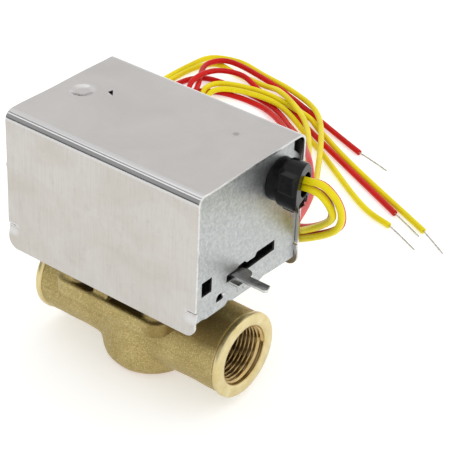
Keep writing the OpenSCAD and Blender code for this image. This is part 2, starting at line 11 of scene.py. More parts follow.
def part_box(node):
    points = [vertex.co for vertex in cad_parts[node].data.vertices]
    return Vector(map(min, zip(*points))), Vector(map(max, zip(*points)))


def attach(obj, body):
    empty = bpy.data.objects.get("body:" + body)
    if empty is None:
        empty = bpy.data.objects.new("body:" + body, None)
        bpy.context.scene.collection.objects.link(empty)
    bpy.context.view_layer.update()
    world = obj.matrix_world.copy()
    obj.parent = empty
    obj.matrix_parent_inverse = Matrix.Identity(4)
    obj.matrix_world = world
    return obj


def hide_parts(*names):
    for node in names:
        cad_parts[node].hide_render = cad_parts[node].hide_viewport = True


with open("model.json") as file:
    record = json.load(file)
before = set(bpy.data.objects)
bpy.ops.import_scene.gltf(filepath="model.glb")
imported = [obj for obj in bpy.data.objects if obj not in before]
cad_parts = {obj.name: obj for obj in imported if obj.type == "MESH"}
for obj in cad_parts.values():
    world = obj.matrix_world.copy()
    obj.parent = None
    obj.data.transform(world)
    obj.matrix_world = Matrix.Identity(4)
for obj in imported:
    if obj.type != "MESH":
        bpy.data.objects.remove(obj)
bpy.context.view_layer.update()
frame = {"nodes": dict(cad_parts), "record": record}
nodes = frame["nodes"]
MM = 0.001

# ---------------------------------------------------------------- camera
CAMERA_AT = Vector((0.37895, -0.45650, 0.44845))
CAMERA_RIGHT = Vector((0.784528, 0.618957, 0.037536))
CAMERA_UP = Vector((-0.360546, 0.406068, 0.839713))
CAMERA_LENS = 138.56
SENSOR = 36.0


def make_camera():
    data = bpy.data.cameras.new("camera")
    data.lens = CAMERA_LENS
    data.sensor_width = SENSOR
    data.clip_start = 0.05
    data.clip_end = 20
    cam = bpy.data.objects.new("camera", data)
    bpy.context.scene.collection.objects.link(cam)
    back = CAMERA_RIGHT.cross(CAMERA_UP).normalized()
    turn = Matrix((CAMERA_RIGHT.normalized(), back.cross(CAMERA_RIGHT).normalized(), back)).transposed()
    cam.matrix_world = Matrix.Translation(CAMERA_AT) @ turn.to_4x4()
    bpy.context.scene.camera = cam
    return cam


make_camera()

# ---------------------------------------------------------------- leads
LEAD_D = 3.0
# The leads' routes in millimetres, as in the part's source.
ROUTES = {
    "yellow_a": [
        (53.5, 18.9, 100.9), (60.5, 19.2, 102), (66.8, 20.4, 102), (71.6, 23, 96.8),
        (73, 26.5, 87.6), (69.2, 29.6, 78.2), (48.3, 37, 61.2), (36, 42, 54), (22, 64, 43),
        (3, 106, 25.5), (-22, 151, 13), (-64, 210, 6), (-87, 222, 4.8), (-113, 229.5, 3),
        (-136, 235, 1.6), (-150, 228.5, 1.6), (-153, 212, 1.6), (-151.2, 174.2, 1.6),
        (-145.9, 161.5, 1.6), (-133.2, 156.3, 1.6), (-120.5, 161.5, 1.6), (-115.3, 174.2, 1.6),
        (-121, 192.5, 5), (-117.5, 200, 5), (-88, 205.5, 5), (-54, 191, 1.6), (6, 154.5, 1.6),
        (22, 150, 1.6),
    ],
    "yellow_b": [
        (53.5, 18.9, 97.7), (60.2, 19.2, 98.7), (65.6, 20.6, 97.5), (69, 23, 92.4),
        (69.1, 26.1, 85.6), (48, 37, 65), (36, 42, 58), (19.5, 67, 47), (-26, 148, 17.5),
        (-62, 195, 9.5), (-92, 214.5, 7), (-106, 219.8, 3.2), (-129, 223, 1.6),
        (-142.5, 224.5, 1.6), (-149, 213, 1.6), (-147.6, 174.2, 1.6), (-143.4, 164, 1.6),
        (-133.2, 159.8, 1.6), (-123, 164, 1.6), (-118.8, 174.2, 1.6), (-122, 184.5, 3),
        (-126, 193.5, 5), (-124, 202.5, 5), (-101, 210.5, 5), (-72, 206.6, 4.9), (-64, 205.2, 4),
        (-57, 202.5, 1.7), (-29, 187.5, 1.6), (37, 157, 1.6),
    ],
    "red_a": [
        (53.5, 21.9, 99.3), (59.2, 22.1, 100), (65.2, 23.6, 100), (69.5, 26.6, 94.6),
        (70.9, 30.2, 86.2), (68.5, 33.2, 77.6), (49.4, 40.5, 61.4), (38, 45.5, 54.5),
        (4.5, 106.5, 32), (-21.5, 142, 25), (-68.5, 192, 4), (-94, 207, 1.6), (-135.5, 208, 1.6),
        (-142.5, 201, 1.6), (-144, 174.2, 1.6), (-140.9, 166.5, 1.6), (-133.2, 163.4, 1.6),
        (-125.5, 166.5, 1.6), (-122.4, 174.2, 1.6), (-130.5, 192, 4.8), (-143, 216, 4.8),
        (-138, 226, 4.8), (-108.5, 225, 3.5), (-28, 197.5, 1.6),
    ],
    "red_b": [
        (53.5, 21.7, 96.1), (58.8, 22, 96.9), (63.9, 23.6, 95.8), (66.7, 26.8, 90.6),
        (63.6, 33.3, 78.9), (48.9, 40.4, 65.4), (37.3, 45.6, 59.2), (16.5, 67.5, 51),
        (-12, 115, 29), (-44, 162, 12), (-80, 195, 3.5), (-98, 202.5, 1.6), (-122, 199.5, 1.6),
        (-139, 183, 1.6), (-140.5, 174.2, 1.6), (-138.4, 169, 1.6), (-133.2, 166.9, 1.6),
        (-128, 169, 1.6), (-125.9, 174.2, 1.6), (-133.5, 190.5, 7), (-133, 199, 8.8),
        (-130, 212, 7), (-120, 218.3, 5), (-105, 215.5, 1.6), (-87, 212.5, 1.6),
        (-57.5, 197.5, 1.6), (18, 161, 1.6),
    ],
}
# The far end of each stripped conductor, and its lead's length as laid, in millimetres.
TIPS = {
    "yellow_a": ((42, 141.5, 0.8), 676),
    "yellow_b": ((54, 147.5, 0.8), 654),
    "red_a": ((-8, 193, 0.8), 586),
    "red_b": ((37.5, 152.5, 0.8), 572),
}


def smooth_path(points, step=1.5):
    """Points along a centripetal Catmull-Rom curve through the given ones."""
    p = [np.array(q, float) for q in points]
    p = [2 * p[0] - p[1]] + p + [2 * p[-1] - p[-2]]
    out = []
    for a, b, c, d in zip(p, p[1:], p[2:], p[3:]):
        t0 = 0.0
        t1 = t0 + math.sqrt(np.linalg.norm(b - a))
        t2 = t1 + math.sqrt(np.linalg.norm(c - b))
        t3 = t2 + math.sqrt(np.linalg.norm(d - c))
        for k in range(max(2, round(np.linalg.norm(c - b) / step))):
            t = t1 + (t2 - t1) * k / max(2, round(np.linalg.norm(c - b) / step))
            ab = ((t1 - t) * a + (t - t0) * b) / (t1 - t0)
            bc = ((t2 - t) * b + (t - t1) * c) / (t2 - t1)
            cd = ((t3 - t) * c + (t - t2) * d) / (t3 - t2)
            abc = ((t2 - t) * ab + (t - t0) * bc) / (t2 - t0)
            bcd = ((t3 - t) * bc + (t - t1) * cd) / (t3 - t1)
            out.append(((t2 - t) * abc + (t - t1) * bcd) / (t2 - t1))
    out.append(p[-2])
    return out


def new_object(name, mesh_or_curve):
    piece = bpy.data.objects.new(name, mesh_or_curve)
    bpy.context.scene.collection.objects.link(piece)
    return piece


def lead_tube(name, path):
    """A round PVC sleeve swept along a path in millimetres, with closed ends."""
    sides = 16
    ahead = np.gradient(path, axis=0)
    ahead /= np.linalg.norm(ahead, axis=1)[:, None]
    across = np.array([0.0, 0.0, 1.0])
    verts = []
    for place, forward in zip(path, ahead):
        across = across - forward * (across @ forward)
        across /= np.linalg.norm(across)
        beside = np.cross(forward, across)
        for k in range(sides):
            a = 2 * math.pi * k / sides
            verts.append(place + LEAD_D / 2 * (math.cos(a) * across + math.sin(a) * beside))
    faces = [(i * sides + k, i * sides + (k + 1) % sides,
              (i + 1) * sides + (k + 1) % sides, (i + 1) * sides + k)
             for i in range(len(path) - 1) for k in range(sides)]
    faces.append(tuple(range(sides - 1, -1, -1)))
    faces.append(tuple(len(verts) - sides + k for k in range(sides)))
    mesh = bpy.data.meshes.new(name)
    mesh.from_pydata([tuple(c * MM for c in v) for v in verts], [], faces)
    mesh.shade_smooth()
    mesh.set_sharp_from_angle(angle=math.radians(50))
    return new_object(name, mesh)


def make_leads():
    for key, route in ROUTES.items():
        path = np.array(smooth_path(route))
        path[:, 2] = np.maximum(path[:, 2], LEAD_D / 2)
        lead = lead_tube("lead_" + key + "_sleeve", path)
        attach(lead, "housing")
        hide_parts("lead_" + key)


make_leads()


# ---------------------------------------------------------------- material tools
class Paint:
    """A material on the Principled shader, with short calls for its nodes. Lengths are in millimetres."""

    def __init__(self, name, colour, metallic=0.0, roughness=0.5, **sockets):
        self.material = bpy.data.materials.new(name)
        self.material.use_nodes = True
        self.nodes = self.material.node_tree.nodes
        self.links = self.material.node_tree.links
        self.shader = self.nodes["Principled BSDF"]
        self.shader.inputs["Base Color"].default_value = (*colour, 1)
        self.shader.inputs["Metallic"].default_value = metallic
        self.shader.inputs["Roughness"].default_value = roughness
        for socket, value in sockets.items():
            self.shader.inputs[socket.replace("_", " ")].default_value = value
        self.place = self.nodes.new("ShaderNodeTexCoord").outputs["Object"]

    def add(self, kind, **values):
        node = self.nodes.new(kind)
        for key, value in values.items():
            setattr(node, key, value)
        return node

    def set(self, socket, value):
        if isinstance(value, bpy.types.NodeSocket):
            self.links.new(value, socket)
        else:
            socket.default_value = value

    def stretched(self, x=1.0, y=1.0, z=1.0):
        """The place in millimetres, times a factor along each axis."""
        node = self.add("ShaderNodeMapping")
        self.links.new(self.place, node.inputs["Vector"])
        node.inputs["Scale"].default_value = (x / MM, y / MM, z / MM)
        return node.outputs["Vector"]

    def noise(self, scale, where=None, detail=2.0, roughness=0.5, warp=0.0):
        node = self.add("ShaderNodeTexNoise")
        self.links.new(where or self.stretched(), node.inputs["Vector"])
        node.inputs["Scale"].default_value = scale
        node.inputs["Detail"].default_value = detail
        node.inputs["Roughness"].default_value = roughness
        node.inputs["Distortion"].default_value = warp
        return node.outputs["Fac"]

    def cells(self, scale, where=None, output="Distance"):
        node = self.add("ShaderNodeTexVoronoi")
        self.links.new(where or self.stretched(), node.inputs["Vector"])
        node.inputs["Scale"].default_value = scale
        return node.outputs[output]

    def spread(self, value, low, high, to_low=0.0, to_high=1.0):
        node = self.add("ShaderNodeMapRange", clamp=True)
        self.links.new(value, node.inputs["Value"])
        node.inputs["From Min"].default_value = low
        node.inputs["From Max"].default_value = high
        node.inputs["To Min"].default_value = to_low
        node.inputs["To Max"].default_value = to_high
        return node.outputs["Result"]

    def math(self, operation, a, b=0.0):
        node = self.add("ShaderNodeMath", operation=operation)
        self.set(node.inputs[0], a)
        self.set(node.inputs[1], b)
        return node.outputs["Value"]

    def mix(self, share, a, b):
        """Colour a where share is 0, and b where it is 1."""
        node = self.add("ShaderNodeMix", data_type="RGBA")
        self.set(node.inputs["Factor"], share)
        self.set(node.inputs["A"], a if isinstance(a, bpy.types.NodeSocket) else (*a, 1))
        self.set(node.inputs["B"], b if isinstance(b, bpy.types.NodeSocket) else (*b, 1))
        return node.outputs["Result"]

    def axis(self, name):
        """One coordinate of the place, in millimetres."""
        node = self.add("ShaderNodeSeparateXYZ")
        self.links.new(self.stretched(), node.inputs["Vector"])
        return node.outputs[name]

    def distance_from(self, x, y):
        """Distance in plan from one point, in millimetres."""
        dx = self.math("ADD", self.axis("X"), -x)
        dy = self.math("ADD", self.axis("Y"), -y)
        squares = self.math("ADD", self.math("MULTIPLY", dx, dx), self.math("MULTIPLY", dy, dy))
        return self.math("SQRT", squares)

    def facing(self, name):
        """One part of the surface's own normal, in the object's axes."""
        node = self.add("ShaderNodeSeparateXYZ")
        self.links.new(self.place.node.outputs["Normal"], node.inputs["Vector"])
        return node.outputs[name]

    def colour(self, value):
        self.links.new(value, self.shader.inputs["Base Color"])

    def rough(self, value):
        self.links.new(value, self.shader.inputs["Roughness"])

    def bump(self, height, depth, strength=1.0):
        """Height 0 to 1 stands for this depth, in millimetres. A second call adds to the first."""
        node = self.add("ShaderNodeBump")
        normal = self.shader.inputs["Normal"]
        if normal.is_linked:
            self.links.new(normal.links[0].from_socket, node.inputs["Normal"])
        self.links.new(height, node.inputs["Height"])
        node.inputs["Strength"].default_value = strength
        node.inputs["Distance"].default_value = depth * MM
        self.links.new(node.outputs["Normal"], normal)


# ---------------------------------------------------------------- materials, one function each
def cover_metal():
    """Satin sheet with a very fine grain, a painted highlight on the bends (a brighter base colour there),
    smudged and rubbed on the sides.
    """
    p = Paint("cover_sheet", (0.56, 0.54, 0.515), metallic=1.0, roughness=0.36)
    fine = p.noise(1.0, p.stretched(3.2, 0.22, 0.22), detail=4, roughness=0.65)
    tooth = p.noise(2.4, detail=4, roughness=0.7)
    smudge = p.noise(0.035, detail=4, roughness=0.6, warp=0.6)
    warm = p.noise(0.03, p.stretched(1.0, 1.0, 1.6), detail=5, roughness=0.62, warp=0.5)
    rub = p.noise(0.3, p.stretched(1.0, 1.0, 0.6), detail=6, roughness=0.75, warp=0.4)
    brushed = p.noise(1.0, p.stretched(1.4, 1.4, 0.05), detail=4, roughness=0.6)
    upright = p.spread(p.math("ABSOLUTE", p.facing("Y")), 0.9, 0.99)
    bend = p.math("MULTIPLY", p.spread(p.math("ABSOLUTE", p.facing("Y")), 0.03, 0.2),
                  p.spread(p.math("ABSOLUTE", p.facing("Z")), 0.03, 0.2))
    top = p.mix(p.spread(smudge, 0.3, 0.7), (0.50, 0.482, 0.476), (0.56, 0.545, 0.535))
    side = p.mix(p.spread(warm, 0.42, 0.66), (0.57, 0.55, 0.525), (0.525, 0.495, 0.45))
    side = p.mix(p.spread(rub, 0.54, 0.76, 0.0, 0.45), side, (0.39, 0.365, 0.335))
    side = p.mix(p.spread(brushed, 0.45, 0.75, 0.0, 0.3), side, (0.41, 0.395, 0.37))
    base = p.mix(upright, top, side)
    base = p.mix(p.spread(fine, 0.55, 0.8, 0.0, 0.22), base, (0.36, 0.345, 0.335))
    speck = p.spread(p.cells(0.05), 0.028, 0.018)
    base = p.mix(p.math("MULTIPLY", speck, 0.5), base, (0.22, 0.2, 0.19))
    # Painted shade: the colour is darkened at the small dent on the top.
    dent_shade = p.spread(p.distance_from(29.8, 13.3), 1.7, 0.8)
    base = p.mix(p.math("MULTIPLY", dent_shade, 0.6), base, (0.25, 0.245, 0.24))
    # Painted highlight: the bends get a brighter base colour than the flats.
    p.colour(p.mix(bend, base, (0.60, 0.595, 0.60)))
    both = p.math("ADD", p.math("MULTIPLY", smudge, 0.6), p.math("MULTIPLY", tooth, 0.4))
    dull = p.spread(both, 0.3, 0.7, 0.3, 0.43)
    p.rough(p.math("SUBTRACT", dull, p.math("MULTIPLY", bend, 0.27)))
    p.bump(fine, 0.006)
    p.bump(tooth, 0.008)
    p.bump(p.spread(p.distance_from(-38.4, -0.2), 2.4, 5.2), 0.8)
    p.bump(p.spread(p.distance_from(29.8, 13.3), 0.4, 2.0), 0.3)
    return p.material


def galvanised():
    """Bluish zinc-coated sheet with a fine even speckle and small pits."""
    p = Paint("galvanised_sheet", (0.55, 0.59, 0.62), metallic=1.0, roughness=0.42)
    speckle = p.noise(0.85, detail=5, roughness=0.72)
    cloud = p.noise(0.05, detail=3)
    base = p.mix(p.spread(speckle, 0.36, 0.64), (0.34, 0.362, 0.37), (0.565, 0.585, 0.59))
    base = p.mix(p.spread(cloud, 0.35, 0.7, 0.0, 0.3), base, (0.49, 0.49, 0.465))
    pit = p.spread(p.cells(0.22), 0.09, 0.05)
    p.colour(p.mix(p.math("MULTIPLY", pit, 0.35), base, (0.3, 0.32, 0.33)))
    p.rough(p.spread(speckle, 0.3, 0.7, 0.36, 0.5))
    p.bump(speckle, 0.012)
    return p.material


def forged_brass():
    """Sand-textured olive forging skin, with painted shade in the flange's pockets, a painted shadow of the
    box on the right port and a painted orange glow along the bottom edge.
    """
    p = Paint("forged_brass", (0.45, 0.355, 0.13), metallic=1.0, roughness=0.5)
    grain = p.noise(1.5, detail=6, roughness=0.75)
    pits = p.cells(1.1)
    patch = p.noise(0.07, detail=5, roughness=0.65, warp=0.6)
    streak = p.noise(0.3, p.stretched(0.6, 0.6, 1.8), detail=5, roughness=0.7, warp=0.8)
    base = p.mix(p.spread(patch, 0.35, 0.68), (0.385, 0.30, 0.11), (0.495, 0.40, 0.175))
    base = p.mix(p.spread(streak, 0.56, 0.78, 0.0, 0.4), base, (0.31, 0.235, 0.075))
    base = p.mix(p.spread(grain, 0.52, 0.68, 0.0, 0.85), base, (0.84, 0.71, 0.39))
    base = p.mix(p.spread(grain, 0.47, 0.32, 0.0, 0.8), base, (0.20, 0.145, 0.045))
    # Painted shade: the pockets in the flange's top, under the box, darkened to a deep brown.
    pocket_shade = p.math("MULTIPLY", p.spread(p.axis("Z"), 41.0, 41.6), p.spread(p.axis("Z"), 42.9, 42.4))
    pocket_shade = p.math("MULTIPLY", pocket_shade, p.spread(p.facing("Z"), 0.3, 0.7))
    base = p.mix(p.math("MULTIPLY", pocket_shade, 0.75), base, (0.11, 0.055, 0.015))
    # Painted shadow of the box: a dark brown patch on the right port's upper near side, next to the bulge.
    tone_mask = p.math("MULTIPLY", p.spread(p.axis("X"), 19.0, 25.0), p.spread(p.axis("Y"), -2.0, -6.0))
    tone_mask = p.math("MULTIPLY", tone_mask, p.spread(p.axis("Z"), 31.4, 33.6))
    base = p.mix(p.math("MULTIPLY", tone_mask, 0.55), base, (0.17, 0.10, 0.025))
    # Painted glow: an orange-brown tint along the bottom edge, below 4 mm.
    p.colour(p.mix(p.spread(p.axis("Z"), 4.0, 0.5, 0.0, 0.5), base, (0.55, 0.25, 0.06)))
    p.rough(p.spread(grain, 0.3, 0.7, 0.4, 0.62))
    p.bump(grain, 0.16)
    p.bump(pits, 0.04)
    return p.material


def machined_brass():
    """Turned faces: pale, with fine rings about the pipe axis."""
    p = Paint("machined_brass", (0.70, 0.60, 0.32), metallic=1.0, roughness=0.3)
    ring = p.noise(1.0, p.stretched(6.0, 0.15, 0.15), detail=2)
    tone_mask = p.noise(0.12, detail=4, roughness=0.6)
    base = p.mix(p.spread(tone_mask, 0.35, 0.7), (0.64, 0.53, 0.26), (0.77, 0.68, 0.41))
    p.colour(p.mix(p.spread(ring, 0.4, 0.6, 0.0, 0.3), base, (0.58, 0.47, 0.21)))
    p.rough(p.spread(tone_mask, 0.3, 0.7, 0.24, 0.38))
    p.bump(ring, 0.015)
    return p.material


def thread_brass():
    """Cut thread, golden brown, with painted shade that darkens it towards the inside."""
    p = Paint("thread_brass", (0.62, 0.43, 0.17), metallic=1.0, roughness=0.3)
    tone_mask = p.noise(0.2, detail=4, roughness=0.6)
    # Painted shade: darker towards the inside of the bore.
    depth = p.spread(p.math("ABSOLUTE", p.axis("X")), 49.5, 34.0)
    base = p.mix(p.spread(tone_mask, 0.35, 0.7), (0.50, 0.36, 0.15), (0.66, 0.51, 0.26))
    p.colour(p.mix(p.math("MULTIPLY", depth, 0.7), base, (0.26, 0.15, 0.05)))
    p.rough(p.spread(tone_mask, 0.3, 0.7, 0.26, 0.4))
    p.bump(p.noise(3.0, detail=2), 0.01)
    return p.material


def turned_metal(name, colour, roughness=0.3, grain=4.0):
    """A turned or ground metal, with fine scratches around +Z."""
    p = Paint(name, colour, metallic=1.0, roughness=roughness)
    line = p.noise(1.0, p.stretched(0.3, 0.3, grain), detail=3)
    tone_mask = p.noise(0.25, detail=3)
    darker = tuple(c * 0.78 for c in colour)
    brighter = tuple(min(1.0, c * 1.12) for c in colour)
    mean = p.math("MULTIPLY", p.math("ADD", line, tone_mask), 0.5)
    p.colour(p.mix(p.spread(mean, 0.35, 0.65), darker, brighter))
    p.rough(p.spread(line, 0.3, 0.7, roughness * 0.8, roughness * 1.3))
    p.bump(line, 0.01)
    return p.material


def stamped_steel(name, colour, roughness=0.34):
    """Zinc-plated stamping with faint rolling lines and rub marks."""
    p = Paint(name, colour, metallic=1.0, roughness=roughness)
    line = p.noise(1.0, p.stretched(0.12, 2.4, 2.4), detail=3)
    rub = p.noise(0.4, detail=4, roughness=0.65)
    darker = tuple(c * 0.72 for c in colour)
    brighter = tuple(min(1.0, c * 1.2) for c in colour)
    mean = p.math("MULTIPLY", p.math("ADD", line, rub), 0.5)
    p.colour(p.mix(p.spread(mean, 0.35, 0.65), darker, brighter))
    p.rough(p.spread(rub, 0.3, 0.7, roughness * 0.75, roughness * 1.35))
    p.bump(line, 0.012)
    return p.material


def moulded(name, colour, roughness=0.4, texture=0.02, **sockets):
    """Moulded plastic or rubber with a fine tool texture and slight flow marks."""
    p = Paint(name, colour, roughness=roughness, **sockets)
    flow = p.noise(0.15, detail=3, warp=0.8)
    tooth = p.noise(2.6, detail=3)
    darker = tuple(c * 0.82 for c in colour)
    brighter = tuple(min(1.0, c * 1.12 + 0.003) for c in colour)
    p.colour(p.mix(p.spread(flow, 0.35, 0.65), darker, brighter))
    p.rough(p.spread(tooth, 0.3, 0.7, roughness * 0.85, roughness * 1.2))
    p.bump(tooth, texture)
    return p.material


def lead_plastic(name, colour, deep):
    """Extruded PVC: even colour with drawn lines too fine to count and a soft shine."""
    p = Paint(name, colour, roughness=0.34, Specular_IOR_Level=0.14, Coat_Weight=0.07, Coat_Roughness=0.15)
    slow = p.noise(0.06, detail=3)
    skin = p.noise(1.6, detail=3)
    p.colour(p.mix(p.spread(slow, 0.35, 0.65), deep, colour))
    p.rough(p.spread(skin, 0.3, 0.7, 0.24, 0.38))
    p.bump(skin, 0.012)
    return p.material


def winding():
    """Enamelled wire wound around +Z."""
    p = Paint("copper_winding", (0.6, 0.27, 0.12), metallic=1.0, roughness=0.35)
    turns = p.noise(1.0, p.stretched(0.2, 0.2, 5.0), detail=1)
    p.colour(p.mix(p.spread(turns, 0.4, 0.6), (0.42, 0.16, 0.06), (0.68, 0.33, 0.16)))
    p.bump(turns, 0.15)
    return p.material


def tinned_wire():
    p = Paint("tinned_copper", (0.66, 0.645, 0.62), metallic=1.0, roughness=0.25)
    lumps = p.noise(0.9, detail=3)
    p.colour(p.mix(p.spread(lumps, 0.35, 0.7), (0.5, 0.48, 0.45), (0.78, 0.765, 0.74)))
    p.rough(p.spread(lumps, 0.3, 0.7, 0.18, 0.36))
    p.bump(lumps, 0.04)
    return p.material


FINISHES = {
    "forged_brass": forged_brass(),
    "turned_brass": turned_metal("turned_brass", (0.68, 0.5, 0.22)),
    "zinc_plate": stamped_steel("zinc_plate", (0.55, 0.56, 0.58)),
    "zinc_screw": turned_metal("zinc_screw", (0.62, 0.62, 0.62), roughness=0.28),
    "seal_rubber": moulded("seal_rubber", (0.02, 0.02, 0.021), roughness=0.55),
    "steel_shaft": turned_metal("steel_shaft", (0.58, 0.58, 0.59), roughness=0.24),
    "galvanised_sheet": galvanised(),
    "gear_steel": stamped_steel("gear_steel", (0.5, 0.5, 0.5)),
    "spring_steel": stamped_steel("spring_steel", (0.32, 0.32, 0.33)),
    "lever_steel": stamped_steel("lever_steel", (0.33, 0.33, 0.33), roughness=0.34),
    "gear_plastic": moulded("gear_plastic", (0.78, 0.76, 0.7), roughness=0.38),
    "copper_winding": winding(),
    "ferrite": moulded("ferrite", (0.05, 0.05, 0.055), roughness=0.6),
    "switch_plastic": moulded("switch_plastic", (0.2, 0.025, 0.02), roughness=0.4),
    "plunger_plastic": moulded("plunger_plastic", (0.76, 0.74, 0.66), roughness=0.35),
    "yellow_pvc": lead_plastic("yellow_pvc", (0.83, 0.70, 0.008), (0.74, 0.61, 0.005)),
    "red_pvc": lead_plastic("red_pvc", (0.62, 0.008, 0.006), (0.48, 0.004, 0.004)),
    "black_nylon": moulded("black_nylon", (0.004, 0.004, 0.005), roughness=0.2, texture=0.008,
                           Specular_IOR_Level=0.04, Coat_Weight=0.22, Coat_Roughness=0.06),
    "cover_sheet": cover_metal(),
    "tinned_copper": tinned_wire(),
}
MACHINED = machined_brass()
THREAD = thread_brass()
CUT_EDGE = stamped_steel("cut_edge", (0.66, 0.66, 0.65), roughness=0.3)


def paint_cad_nodes():
    """Every CAD node gets its slot's finish."""
    slots = {part["node"]: part["material_slot"] for part in frame["record"]["subparts"]}
    for name, node in nodes.items():
        node.data.materials.clear()
        node.data.materials.append(FINISHES[slots[name]])


paint_cad_nodes()
for key in ROUTES:
    bpy.data.objects["lead_" + key + "_sleeve"].data.materials.append(FINISHES[key.split("_")[0] + "_pvc"])


# ---------------------------------------------------------------- mesh tools
def mesh_piece(name, verts, faces):
    """A new object from points in millimetres."""
    mesh = bpy.data.meshes.new(name)
    mesh.from_pydata([tuple(c * MM for c in v) for v in verts], [], faces)
    mesh.validate()
    return new_object(name, mesh)


def apply_modifiers(piece):
    bpy.context.view_layer.update()
    shown = piece.evaluated_get(bpy.context.evaluated_depsgraph_get())
    mesh = bpy.data.meshes.new_from_object(shown)
    piece.modifiers.clear()
    piece.data = mesh


def outward(piece):
    """Makes the faces' normals agree and point out."""
    bm = bmesh.new()
    bm.from_mesh(piece.data)
    bmesh.ops.recalc_face_normals(bm, faces=bm.faces)
    bm.to_mesh(piece.data)
    bm.free()


def smooth_shade(piece, angle=30):
    piece.data.shade_smooth()
    piece.data.set_sharp_from_angle(angle=math.radians(angle))


def cad_copy(node, name):
    """A mesh piece that starts as a copy of a CAD node, with the triangles on each flat joined."""
    piece = new_object(name, nodes[node].data.copy())
    bm = bmesh.new()
    bm.from_mesh(piece.data)
    bmesh.ops.remove_doubles(bm, verts=bm.verts, dist=1e-6)
    bmesh.ops.dissolve_limit(bm, angle_limit=math.radians(0.5), verts=bm.verts, edges=bm.edges)
    bm.to_mesh(piece.data)
    bm.free()
    return piece


def bevel(piece, width, segments=2, angle=30):
    mod = piece.modifiers.new("bevel", "BEVEL")
    mod.width = width * MM
    mod.segments = segments
    mod.limit_method = "ANGLE"
    mod.angle_limit = math.radians(angle)
    mod.harden_normals = False
    apply_modifiers(piece)


def even_normals(piece):
    """Keeps the shading of each flat face flat, with the turn of the normal left to the bevels."""
    smooth_shade(piece)
    mod = piece.modifiers.new("normals", "WEIGHTED_NORMAL")
    mod.weight = 100
    mod.keep_sharp = True
    apply_modifiers(piece)


def cut(piece, tool, operation="DIFFERENCE"):
    mod = piece.modifiers.new("cut", "BOOLEAN")
    mod.operation = operation
    mod.solver = "EXACT"
    mod.object = tool
    apply_modifiers(piece)
    bpy.data.objects.remove(tool)


def block(low, high):
    """A plain box to cut with, given its corners in millimetres."""
    x, y, z = zip(low, high)
    verts = [(x[i], y[j], z[k]) for i in (0, 1) for j in (0, 1) for k in (0, 1)]
    faces = [(0, 1, 3, 2), (4, 6, 7, 5), (0, 4, 5, 1), (2, 3, 7, 6), (0, 2, 6, 4), (1, 5, 7, 3)]
    tool = mesh_piece("cutter", verts, faces)
    outward(tool)
    return tool


def voxels(piece, size):
    mod = piece.modifiers.new("voxels", "REMESH")
    mod.mode = "VOXEL"
    mod.voxel_size = size * MM
    apply_modifiers(piece)


def points_of(mesh):
    co = np.zeros(len(mesh.vertices) * 3)
    mesh.vertices.foreach_get("co", co)
    return co.reshape(-1, 3) / MM


def put_points(mesh, points):
    mesh.vertices.foreach_set("co", (points * MM).ravel())
    mesh.update()


def relax(mesh, weights, rounds):
    """Draws each point towards the middle of its neighbours, as far as its weight says."""
    ends = np.zeros(len(mesh.edges) * 2, dtype=np.int64)
    mesh.edges.foreach_get("vertices", ends)
    a, b = ends.reshape(-1, 2).T
    count = len(mesh.vertices)
    links = np.maximum(np.bincount(a, minlength=count) + np.bincount(b, minlength=count), 1)
    points = points_of(mesh)
    pull = 0.5 * weights[:, None]
    for _ in range(rounds):
        total = np.stack([
            np.bincount(a, weights=points[b, k], minlength=count)
            + np.bincount(b, weights=points[a, k], minlength=count)
            for k in range(3)], axis=1)
        points += pull * (total / links[:, None] - points)
    put_points(mesh, points)


def finish_piece(piece, slot, body, *replaced, material=None, angle=30):
    """Gives a piece without a material the given one or its slot's finish, shades it smooth, attaches it to
    its body and hides the CAD nodes that it stands for.
    """
    if not piece.data.materials:
        piece.data.materials.append(material or FINISHES[slot])
    if piece.type == "MESH":
        smooth_shade(piece, angle)
    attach(piece, body)
    if replaced:
        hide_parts(*replaced)
    return piece


# ---------------------------------------------------------------- cover
SHEET = 1.0
BEND_R = 4.25
CORNER_R = 4.6
GRID = 1.05
DIMPLE = (-38.5, 0.0)
DIMPLE_R = 5.0
PUNCH_MARK = ((-26.2, 4.4), (-29.3, 8.3), (-29.8, 5.6))
SLIT_Z = 60.9
EAR_Z = 89.0


def steps(start, stop, size):
    """Evenly spaced values from start to stop, no further apart than size."""
    return np.linspace(start, stop, max(2, math.ceil(abs(stop - start) / size) + 1))


def ease(value, start, stop):
    """0 before start, 1 after stop, and smooth between."""
    t = min(1.0, max(0.0, (value - start) / (stop - start)))
    return t * t * (3 - 2 * t)


def cover_section(half, bottom, top):
    """(y, z, normal y, normal z, is it the top) over the outer section, from one lower edge to the other."""
    low_rows = [bottom + CORNER_R * (1 - math.cos(a)) for a in steps(0, math.pi / 2, 0.2)]
    side = low_rows + list(steps(bottom + CORNER_R, top - BEND_R, GRID))[1:]
    half_way = [(-half, z, -1.0, 0.0, 0) for z in side]
    for a in steps(0, math.pi / 2, 0.13)[1:]:
        ny, nz = -math.cos(a), math.sin(a)
        half_way.append((-half + BEND_R + BEND_R * ny, top - BEND_R + BEND_R * nz, ny, nz, 0))
    flat = [(y, top, 0.0, 1.0, 1) for y in steps(-half + BEND_R, half - BEND_R, GRID)[1:-1]]
    back = [(-y, z, -ny, nz, flag) for y, z, ny, nz, flag in reversed(half_way)]
    return half_way + flat + back


